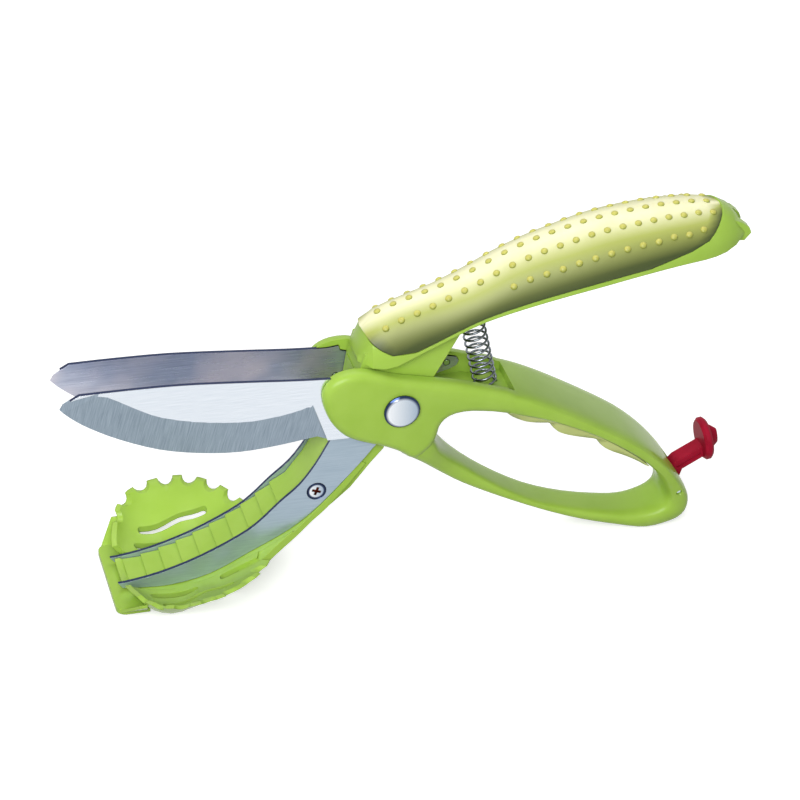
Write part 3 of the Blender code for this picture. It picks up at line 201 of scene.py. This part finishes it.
# %% Lime green and crimson mouldings
def moulding(name, base, other, size, roughness, gloss, glow):
    made, tree, shader = new_material(name, roughness=roughness, ior=1.49, specular_ior_level=gloss)
    let_light_in(shader, glow)
    place = own_place(tree)
    tree.links.new(toned(tree, place, size, base, other), shader.inputs["Base Color"])
    surface(tree, shader, noise(tree, place, 0.9 * MM, 2.0), 0.004 * MM, 0.5 * MM)
    return made


lime = moulding("lime_moulding", "#9FC14E", "#99BC47", 14 * MM, 0.27, 0.22, (1.0, 1.2, 0.25))
crimson = moulding("crimson_moulding", "#A01530", "#93112A", 6 * MM, 0.45, 0.08, (1.0, 0.2, 0.2))
print("mouldings:", lime.name, crimson.name)

# %% [markdown]
# The skin and the pad are thermoplastic elastomer, moulded against an eroded tool,
# so they are matt and scatter light softly. The skin turns from cream on its crest
# to olive at its lower sides. Some of that is the green showing through a thin edge
# and some is shade, and the two aren't told apart, so both are painted here: the
# thin edge and painted shade. Each point of the skin keeps a number that grows as
# its face turns sideways, and the colour follows it.

# %% Soft skins
HALF_TURNED = 0.45


def soft_material(name, base, other, turned_thin_and_shade_colour, thin_and_shade_colour, roughness):
    made, tree, shader = new_material(name, roughness=roughness, ior=1.5, specular_ior_level=0.45)
    let_light_in(shader, (1.0, 0.9, 0.5))
    place = own_place(tree)
    body = toned(tree, place, 9 * MM, base, other)
    thin_and_shade = add_node(tree, "ShaderNodeAttribute", attribute_name="thin_and_shade").outputs["Fac"]
    # Painted shade: the colour turns olive and then dark as a face turns sideways, for the shade on the
    # lower sides as well as the thin edge.
    turned = mixed(tree, ramped(tree, thin_and_shade, 0.0, HALF_TURNED), body, turned_thin_and_shade_colour)
    shade = mixed(tree, ramped(tree, thin_and_shade, HALF_TURNED, 1.0), turned, thin_and_shade_colour)
    tree.links.new(shade, shader.inputs["Base Color"])
    surface(tree, shader, noise(tree, place, 0.35 * MM), 0.015 * MM, 0.3 * MM)
    return made


cream = soft_material("cream_elastomer", "#F4F2C8", "#EFEDBF", "#A6AE58", "#36430F", 0.45)
cream_dot = soft_material("cream_dot_elastomer", "#C6C263", "#BFBB5B", "#ACAD4E", "#87903A", 0.40)
olive = soft_material("lime_elastomer", "#C6CF84", "#BFC97B", "#B8C670", "#A9BE5E", 0.55)
print("soft skins:", cream.name, cream_dot.name, olive.name)

# %% [markdown]
# Stainless knife steel shows how each face was worked. The flats were polished
# along the blade, which leaves hair lines a few hundredths of a millimetre apart.
# They are drawn coarser here so that they show. The ground edge was dressed
# across the blade on a wheel, so its lines run down to the edge and scatter more.
# The faces between the blades are left as rolled. Their darker tone is painted
# shade between the blades, and the lighter clouds on them are painted reflections.
# Polished steel mirrors a white studio and would vanish into it, so each face kind's
# colour is a painted reflection, darker than bare steel, and the blanked edges' deep
# blue is a painted dark reflection.

# %% Steels
HAIR_SHARE = 0.04


def brushed(name, colour, dark, roughness, lines, across, depth,
            painted_reflection=None, painted_reflection_size=30 * MM, metallic=1.0):
    """Steel with hair lines: lines is their spacing, across the turn of their run."""
    made, tree, shader = new_material(name, metallic=metallic)
    place = own_place(tree)
    along = add_node(tree, "ShaderNodeMapping", {"Vector": place, "Rotation": (0, across, 0)})
    stretched = add_node(tree, "ShaderNodeMapping", {"Vector": along.outputs["Vector"],
                                                     "Scale": (1.0, HAIR_SHARE, HAIR_SHARE)})
    hair = noise(tree, stretched.outputs["Vector"], lines, 4.0, 0.65)
    shade = mixed(tree, ramped(tree, hair, 0.3, 0.7), dark, colour)
    # Painted reflection: lighter clouds laid over the hair lines.
    if painted_reflection:
        shade = mixed(tree, ramped(tree, noise(tree, place, painted_reflection_size, 2.0), 0.35, 0.65), shade, painted_reflection)
    tree.links.new(shade, shader.inputs["Base Color"])
    rough = ramped(tree, hair, 0.3, 0.7, roughness * 1.15, roughness * 0.85)
    tree.links.new(rough, shader.inputs["Roughness"])
    surface(tree, shader, hair, depth, 0.15 * MM)
    return made


ALONG, DOWN = math.radians(90), math.radians(-12)
satin_steel = brushed("satin_steel", "#EEF4FB", "#E3EBF4", 0.22, 0.5 * MM, ALONG, 0.004 * MM)
ground_steel = brushed("ground_steel", "#A8B7C4", "#8594A2", 0.36, 0.45 * MM, DOWN, 0.010 * MM)
# Painted shade between the blades, darker, with clouds of painted reflection.
rolled_shaded_steel = brushed("rolled_shaded_steel", "#BBC4D9", "#98A2BA", 0.30, 0.6 * MM, ALONG, 0.006 * MM,
                       painted_reflection="#D8D3DC", painted_reflection_size=24 * MM, metallic=0.8)
counter_steel = brushed("counter_steel", "#AFBFCC", "#9FB1C0", 0.42, 0.5 * MM, ALONG, 0.003 * MM,
                        metallic=0.7)
# The blanked edges' deep blue is a painted dark reflection.
edge_steel = brushed("blank_edge_steel", "#3A4362", "#2B3350", 0.30, 0.3 * MM, 0.0, 0.010 * MM)
wire_steel = brushed("wire_steel", "#8A9096", "#6C7278", 0.16, 0.8 * MM, 0.0, 0.002 * MM)
bright_steel = brushed("bright_steel", "#D3DCE5", "#C6D1DC", 0.14, 0.8 * MM, 0.0, 0.002 * MM)
oxide = brushed("oxidised_steel", "#8E3B22", "#5A1F1C", 0.50, 0.6 * MM, 0.0, 0.010 * MM)
nylon, tree, shader = new_material("white_nylon", roughness=0.5)
shade = mixed(tree, noise(tree, own_place(tree), 3 * MM), "#E8E8E2", "#DFDFD8")
tree.links.new(shade, shader.inputs["Base Color"])
surface(tree, shader, noise(tree, own_place(tree), 0.4 * MM), 0.005 * MM, 0.1 * MM)
print("steels and nylon:", len(bpy.data.materials), "materials so far")

# %% [markdown]
# In the photo each domed head is light over its crown and dark on its steep rim,
# which mirrors a dark part of the studio that isn't modelled here. So the rim's
# tone is painted, by the distance from the head's own axis, and the crown darkens
# a little from left to right.

# %% Domed heads
def domed_steel(name, centre, crown, rim):
    made, tree, shader = new_material(name, metallic=1.0, roughness=0.16)
    place = own_place(tree)
    from_axis = add_node(tree, "ShaderNodeVectorMath", {0: place, 1: centre}, operation="SUBTRACT")
    parts = add_node(tree, "ShaderNodeSeparateXYZ", {"Vector": from_axis.outputs["Vector"]})
    flat = add_node(tree, "ShaderNodeCombineXYZ", {"X": parts.outputs["X"], "Z": parts.outputs["Z"]})
    length = add_node(tree, "ShaderNodeVectorMath", {0: flat.outputs["Vector"]}, operation="LENGTH")
    radius = length.outputs["Value"]
    across = ramped(tree, parts.outputs["X"], -crown, crown)
    # Painted highlight: the crown is light on its left and fades to the right. The rim's dark tone is a
    # painted reflection.
    shade = mixed(tree, across, "#F3F7FB", "#A9BACB")
    shade = mixed(tree, ramped(tree, radius, crown, rim), shade, "#2E3B5A")
    tree.links.new(shade, shader.inputs["Base Color"])
    surface(tree, shader, noise(tree, place, 0.6 * MM), 0.002 * MM, 0.2 * MM)
    return made


def axis_of(node):
    low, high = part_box(node)
    return (low + high) / 2


rivet_steel = domed_steel("rivet_steel", axis_of("pivot_bolt"), 5.9 * MM, 6.9 * MM)
screw_steel = domed_steel("screw_steel", axis_of("blade_screw_near"), 2.7 * MM, 3.2 * MM)
print("domed heads:", rivet_steel.name, screw_steel.name)

# %% [markdown]
# A loaded piece is loose triangles. Its copy is merged first, so that its faces
# shade as one surface.

# %% Working on one piece at a time
SAME_PLACE = 0.002 * MM


def only(piece):
    """Make one object active and selected, alone."""
    bpy.ops.object.select_all(action="DESELECT")
    piece.select_set(True)
    bpy.context.view_layer.objects.active = piece


def merged_copy(node, name):
    """A copy of one CAD node's shape with its corners joined."""
    piece = frame["nodes"][node].copy()
    piece.data = frame["nodes"][node].data.copy()
    piece.name = piece.data.name = name
    bpy.context.scene.collection.objects.link(piece)
    only(piece)
    bpy.ops.object.mode_set(mode="EDIT")
    bpy.ops.mesh.select_all(action="SELECT")
    bpy.ops.mesh.remove_doubles(threshold=SAME_PLACE)
    bpy.ops.mesh.customdata_custom_splitnormals_clear()
    bpy.ops.object.mode_set(mode="OBJECT")
    piece.data.materials.clear()
    return piece


def smooth_shade(piece, turn=35):
    only(piece)
    bpy.ops.object.shade_smooth_by_angle(angle=math.radians(turn))


def apply_all(piece):
    only(piece)
    for step in list(piece.modifiers):
        bpy.ops.object.modifier_apply(modifier=step.name)


def settle(piece, body, slot, *nodes):
    """Place a finished piece on its body, in the stead of its CAD nodes."""
    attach(piece, body)
    if nodes:
        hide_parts(*nodes)
    print(piece.name, len(piece.data.polygons), "faces")


# %% [markdown]
# The two green mouldings keep the shape that they have in the frame.

# %% Green mouldings
loop = merged_copy("loop_handle", "loop_moulding")
loop.data.materials.append(lime)
smooth_shade(loop)
settle(loop, "loop_frame", "green_plastic", "loop_handle")

lever = merged_copy("scoop_and_grip", "scoop_moulding")
lever.data.materials.append(lime)
smooth_shade(lever)
settle(lever, "scoop_lever", "green_plastic", "scoop_and_grip")

# %% [markdown]
# The skin is a thin shell over the grip with five rows of raised dots. Its crest
# sinks by a dot's height, so that the dots stay within the frame's box. The number
# kept at each point grows as a face turns away from the grip's own upward line, and
# sets the painted shade of the lower sides along with the thin edge.

# %% Skin with its thin edge and painted shade
DOT_HEIGHT = 0.9 * MM
DOT_RADIUS = 1.45 * MM
DOT_ROOT = 0.3 * MM
CREST = 8 * MM
GRIP_RISE = math.radians(19)
SKIN_TURN = math.radians(12), math.radians(78)
DOT_TURN = math.radians(25), math.radians(88)
grip_up = Vector((-math.sin(GRIP_RISE), 0, math.cos(GRIP_RISE)))
skin = merged_copy("soft_grip", "grip_skin")
skin.data.materials.append(cream)
smooth_shade(skin, 50)
crest_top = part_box("soft_grip")[1].z


def mark_thin_and_shade(piece, first, last):
    """Keep at each point how far its face has turned sideways from the grip's upward line."""
    thin_and_shade = piece.data.attributes.new("thin_and_shade", "FLOAT", "POINT")
    for point, vertex in zip(thin_and_shade.data, piece.data.vertices):
        turn = math.atan2(abs(vertex.normal.y), vertex.normal.dot(grip_up))
        point.value = min(max((turn - first) / (last - first), 0.0), 1.0)


# This number marks where painted shade and the thin edge darken the skin.
mark_thin_and_shade(skin, *SKIN_TURN)
for vertex in skin.data.vertices:
    share = min(max((vertex.co.z - crest_top + CREST) / CREST, 0.0), 1.0)
    vertex.co.z -= DOT_HEIGHT * share * share * (3 - 2 * share)
print("skin crest sunk by", DOT_HEIGHT / MM, "mm")

# %% [markdown]
# Each dot is the upper part of a flattened ball, modelled once. A row is its turn
# at the front end, its turn further back, the first and last distance behind the
# pivot, and its count. A copy goes wherever a ray from above meets the skin.

# %% Raised dots
bpy.ops.mesh.primitive_uv_sphere_add(segments=20, ring_count=12, radius=DOT_RADIUS)
dot = bpy.context.object
dot.name = "dot"
bpy.ops.object.mode_set(mode="EDIT")
bpy.ops.mesh.select_all(action="SELECT")
bpy.ops.mesh.bisect(plane_co=(0, 0, -DOT_ROOT), plane_no=(0, 0, 1), clear_inner=True, use_fill=True)
bpy.ops.mesh.select_all(action="SELECT")
bpy.ops.transform.resize(value=(1.0, 1.0, DOT_HEIGHT / DOT_RADIUS), center_override=(0, 0, 0))
bpy.ops.object.mode_set(mode="OBJECT")

RAY_START = 300 * MM
BESIDE = 5 * MM
DOT_ROWS = ((0, 0, -7.0, 128.8, 22), (38, 24.5, -5.5, 129.4, 22), (-38, -24.5, -5.5, 129.4, 22),
            (54, 54, 45.0, 123.3, 13), (-54, -54, 45.0, 123.3, 13))
spots = []
for front_turn, turn, first, last, count in DOT_ROWS:
    for k in range(count):
        x = PIVOT.x + (first + (last - first) * k / (count - 1)) * MM
        here = turn + (front_turn - turn) * (1 - k / (count - 1))**4
        half = max(v.co.y for v in skin.data.vertices if abs(v.co.x - x) < BESIDE)
        above = Vector((x, -half * math.sin(math.radians(here)), RAY_START))
        found, spot, normal, face = skin.ray_cast(above, Vector((0, 0, -1)))
        if found:
            spots.append((spot, normal))
placed = []
for spot, normal in spots:
    copy = dot.copy()
    copy.data = dot.data.copy()
    copy.matrix_world = Matrix.Translation(spot) @ normal.to_track_quat("Z", "Y").to_matrix().to_4x4()
    bpy.context.scene.collection.objects.link(copy)
    placed.append(copy)
bpy.data.objects.remove(dot, do_unlink=True)
bpy.ops.object.select_all(action="DESELECT")
for copy in placed:
    copy.select_set(True)
bpy.context.view_layer.objects.active = placed[0]
bpy.ops.object.join()
dots = bpy.context.object
dots.name = dots.data.name = "skin_dots"
bpy.ops.object.transform_apply(location=True, rotation=True, scale=True)
dots.data.materials.clear()
dots.data.materials.append(cream_dot)
# The dots' sides take the same painted shade.
mark_thin_and_shade(dots, *DOT_TURN)
smooth_shade(dots, 60)
print(len(spots), "dots")
settle(skin, "scoop_lever", "cream_rubber", "soft_grip")
settle(dots, "scoop_lever", "cream_rubber")

# %% [markdown]
# The pad keeps the shape and the three finger swells that it has in the frame.

# %% Finger pad
pad = merged_copy("finger_pad", "finger_pad_skin")
pad.data.materials.append(olive)
smooth_shade(pad, 40)
settle(pad, "loop_frame", "olive_rubber", "finger_pad")

# %% [markdown]
# Each knife and counter blade gets its finishes by the way its faces look: the
# flats face straight sideways, the ground bevel leans a few degrees, the faces
# between the blades are left as rolled, and the blanked edges face along the blade.

# %% Blades
FLAT, GROUND, ROLLED, EDGE = range(4)
FLAT_LEAN, SIDE_LEAN = 0.99995, 0.97


def face_kind(lean):
    """Which finish a face has, by how squarely it looks to the blade's outer side."""
    if lean > FLAT_LEAN:
        return FLAT
    if lean > SIDE_LEAN:
        return GROUND
    return ROLLED if lean < -SIDE_LEAN else EDGE


def dressed_blade(node, name, body, side, flat, inner):
    blade = merged_copy(node, name)
    for material in (flat, ground_steel, inner, edge_steel):
        blade.data.materials.append(material)
    smooth_shade(blade, 1.5)
    for face in blade.data.polygons:
        face.material_index = face_kind(face.normal.y * side)
    settle(blade, body, "knife_steel", node)


for word, side in (("near", -1), ("far", 1)):
    dressed_blade("knife_" + word, "knife_dressed_" + word, "loop_frame", side, satin_steel, rolled_shaded_steel)
    dressed_blade("counter_blade_" + word, "counter_blade_dressed_" + word, "scoop_lever", side,
                  counter_steel, counter_steel)

# %% [markdown]
# The spring is wire wound on a mandrel. It is drawn as one curve round the
# line between its two seats, and turned to a mesh.

# %% Return spring
FOOT = PIVOT + Vector((40.4, 0, -4.1)) * MM
TOP = PIVOT + Vector((29.4, 0, 42.6)) * MM
COILS, STEPS, WIRE, COIL_RADIUS = 14, 28, 0.5 * MM, 4.7 * MM
axis = (TOP - FOOT).normalized()
side = Vector((0, 1, 0))
across = side.cross(axis)
climb = (TOP - FOOT).length - 2 * WIRE
path = bpy.data.curves.new("wire_path", "CURVE")
path.dimensions = "3D"
spline = path.splines.new("POLY")
spline.points.add(COILS * STEPS)
for i, point in enumerate(spline.points):
    share = i / (COILS * STEPS)
    turn = 2 * math.pi * COILS * share
    outward = across * math.cos(turn) + side * math.sin(turn)
    spot = FOOT + axis * (WIRE + climb * share) + outward * COIL_RADIUS
    point.co = (*spot, 1.0)
path.bevel_depth = WIRE
path.bevel_resolution = 3
path.use_fill_caps = True
path.materials.append(wire_steel)
wire = bpy.data.objects.new("wound_spring", path)
bpy.context.scene.collection.objects.link(wire)
only(wire)
bpy.ops.object.convert(target="MESH")
wire = bpy.context.object
smooth_shade(wire, 60)
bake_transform(wire)
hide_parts("return_spring")
print(wire.name, len(wire.data.polygons), "faces")

# %% [markdown]
# The bolt and its nut share one domed head, and the pins and the sleeve are bright.

# %% Pivot and pins
for node in ("pivot_bolt", "pivot_nut", "pivot_sleeve", "tang_pin_near_front", "tang_pin_near_rear",
             "tang_pin_far_front", "tang_pin_far_rear", "latch_pin"):
    piece = merged_copy(node, node + "_dressed")
    piece.data.materials.append(rivet_steel if node in ("pivot_bolt", "pivot_nut") else bright_steel)
    smooth_shade(piece, 40)
    settle(piece, "loop_frame", "polished_steel", node)
for node in ("washer_near", "washer_far"):
    piece = merged_copy(node, node + "_dressed")
    piece.data.materials.append(nylon)
    smooth_shade(piece, 40)
    settle(piece, "loop_frame", "white_nylon", node)

# %% [markdown]
# Each screw head has a cross recess. Two bars are cut from it, and the faces that
# they leave carry the bars' own material: steel that has begun to oxidise.

# %% Counter blade screws
RECESS_LONG, RECESS_WIDE, RECESS_DEEP = 3.9 * MM, 1.15 * MM, 1.3 * MM
RECESS_TURNS = 20, 110
for node, side in (("blade_screw_near", -1), ("blade_screw_far", 1)):
    piece = merged_copy(node, node + "_dressed")
    piece.data.materials.append(screw_steel)
    low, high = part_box(node)
    face_y = low.y if side < 0 else high.y
    middle = Vector(((low.x + high.x) / 2, face_y, (low.z + high.z) / 2))
    for turn in RECESS_TURNS:
        bpy.ops.mesh.primitive_cube_add(size=1, location=middle, rotation=(0, math.radians(turn), 0))
        bar = bpy.context.object
        bar.dimensions = (RECESS_LONG, 2 * RECESS_DEEP, RECESS_WIDE)
        only(bar)
        bpy.ops.object.transform_apply(location=False, rotation=False, scale=True)
        bar.data.materials.append(oxide)
        step = piece.modifiers.new("recess", "BOOLEAN")
        step.object = bar
        step.operation = "DIFFERENCE"
        step.solver = "EXACT"
        step.material_mode = "TRANSFER"
        apply_all(piece)
        bpy.data.objects.remove(bar, do_unlink=True)
    smooth_shade(piece, 30)
    settle(piece, "scoop_lever", "polished_steel", node)

# %% [markdown]
# The latch keeps its shape, and swings on a body of its own.

# %% Latch
latch = merged_copy("latch", "latch_moulding")
latch.data.materials.append(crimson)
smooth_shade(latch, 35)
settle(latch, "latch_body", "red_plastic", "latch")

# %% [markdown]
# A pale floor and soft light. The floor is a mid grey to the light that bounces
# off it, so the undersides stay deep, and white to the camera and to reflections,
# where it keeps the shadow.

# %% Floor
bpy.ops.mesh.primitive_plane_add(size=8.0)
floor = bpy.context.object
floor.name = "floor"
paper = bpy.data.materials.new("pale_paper")
paper.use_nodes = True
tree = paper.node_tree
tree.nodes.clear()
rays = add_node(tree, "ShaderNodeLightPath")
bounce = add_node(tree, "ShaderNodeBsdfDiffuse", {"Color": (0.30, 0.30, 0.30, 1.0)})
white = add_node(tree, "ShaderNodeBsdfDiffuse", {"Color": (0.8, 0.8, 0.8, 1.0)})
lift = add_node(tree, "ShaderNodeEmission", {"Color": (1.0, 1.0, 1.0, 1.0), "Strength": 0.5})
seen = add_node(tree, "ShaderNodeAddShader", {0: white.outputs[0], 1: lift.outputs[0]})
mirrored = add_node(tree, "ShaderNodeEmission", {"Color": (1.0, 1.0, 1.0, 1.0), "Strength": 1.0})
to_camera = add_node(tree, "ShaderNodeMixShader", {0: rays.outputs["Is Camera Ray"], 1: bounce.outputs[0],
                                                   2: seen.outputs[0]})
to_gloss = add_node(tree, "ShaderNodeMixShader", {0: rays.outputs["Is Glossy Ray"], 1: to_camera.outputs[0],
                                                  2: mirrored.outputs[0]})
add_node(tree, "ShaderNodeOutputMaterial", {"Surface": to_gloss.outputs[0]})
floor.data.materials.append(paper)
print("floor laid:", floor.name)

# %% [markdown]
# One softbox lights the front from the upper left and a weaker one the top.
# The world is dim as a light and white to the camera and to reflections.

# %% Lights and world
def softbox(name, place, target, size, power):
    lamp = bpy.data.lights.new(name, "AREA")
    lamp.shape = "RECTANGLE"
    lamp.size, lamp.size_y = size
    lamp.energy = power
    holder = bpy.data.objects.new(name, lamp)
    holder.location = place
    holder.rotation_euler = (Vector(target) - Vector(place)).to_track_quat("-Z", "Y").to_euler()
    bpy.context.scene.collection.objects.link(holder)


softbox("key", (-0.45, -0.9, 0.75), (0, 0, 0.06), (0.8, 0.6), 15)
softbox("top", (0.1, 0.35, 1.1), (0, 0, 0.08), (0.9, 0.6), 4)
ROOM_LIGHT = 0.33
world = bpy.data.worlds.new("studio")
bpy.context.scene.world = world
world.use_nodes = True
tree = world.node_tree
rays = add_node(tree, "ShaderNodeLightPath")
seen = add_node(tree, "ShaderNodeMath", {0: rays.outputs["Is Camera Ray"], 1: rays.outputs["Is Glossy Ray"]},
                operation="MAXIMUM")
strength = ramped(tree, seen.outputs["Value"], 0.0, 1.0, ROOM_LIGHT, 1.0)
backdrop = tree.nodes["Background"]
backdrop.inputs["Color"].default_value = (1.0, 1.0, 1.0, 1.0)
tree.links.new(strength, backdrop.inputs["Strength"])
bpy.context.scene.view_settings.view_transform = "Standard"
